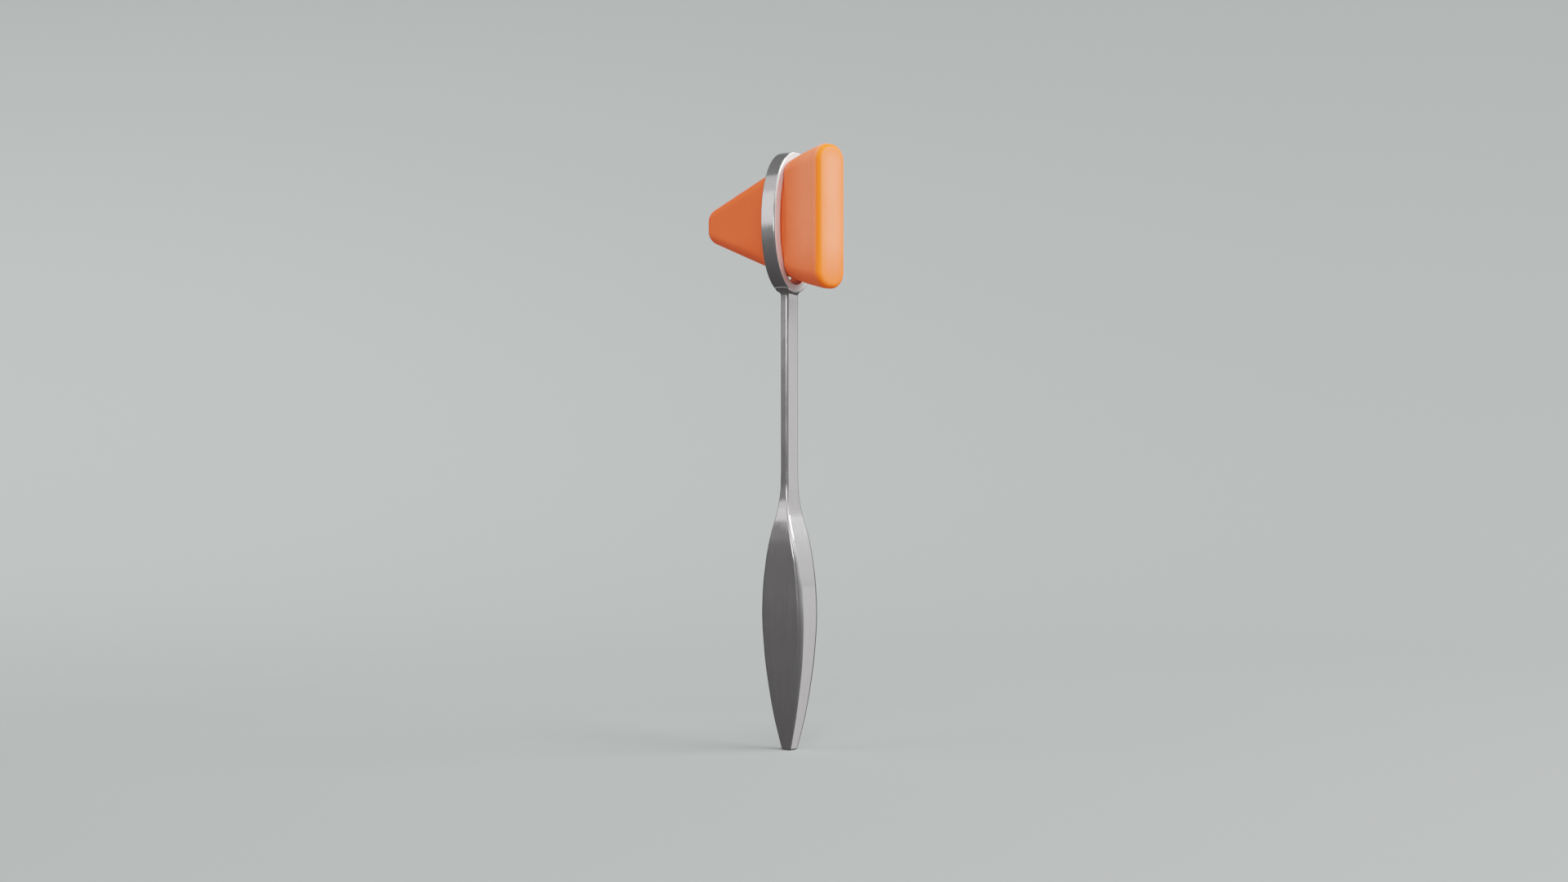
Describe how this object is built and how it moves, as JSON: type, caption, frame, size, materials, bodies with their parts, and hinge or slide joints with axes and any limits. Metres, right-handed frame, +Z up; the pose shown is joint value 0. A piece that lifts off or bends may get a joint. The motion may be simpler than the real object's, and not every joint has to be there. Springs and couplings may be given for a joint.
{
  "type": "reflex hammer",
  "caption": "Hand-held reflex hammer: a wedge-shaped rubber head gripped by an oval steel ring on a flat steel handle with a leaf-shaped grip that ends in a blunt tip.",
  "frame": {"origin": "middle of the flat end face of the handle's tip", "axes": "+Z up the handle from the tip to the head; +X along the head's axis towards its broad striking end; +Y completes the right-handed frame, square to the flat of the grip"},
  "size_m": [0.0537, 0.0196, 0.1902],
  "materials": {
    "steel": "satin-polished stainless steel with very fine lengthwise grain",
    "rubber": "smooth moulded orange rubber with a soft satin sheen"
  },
  "bodies": {
    "handle": {"handle": "steel", "head_ring": "steel"},
    "rubber_head": {"rubber_head": "rubber"}
  },
  "joints": [
    {"name": "head_pull_out", "type": "slide", "parent": "handle", "child": "rubber_head", "axis": [1, 0, 0], "range_m": [0, 0.045]}
  ]
}
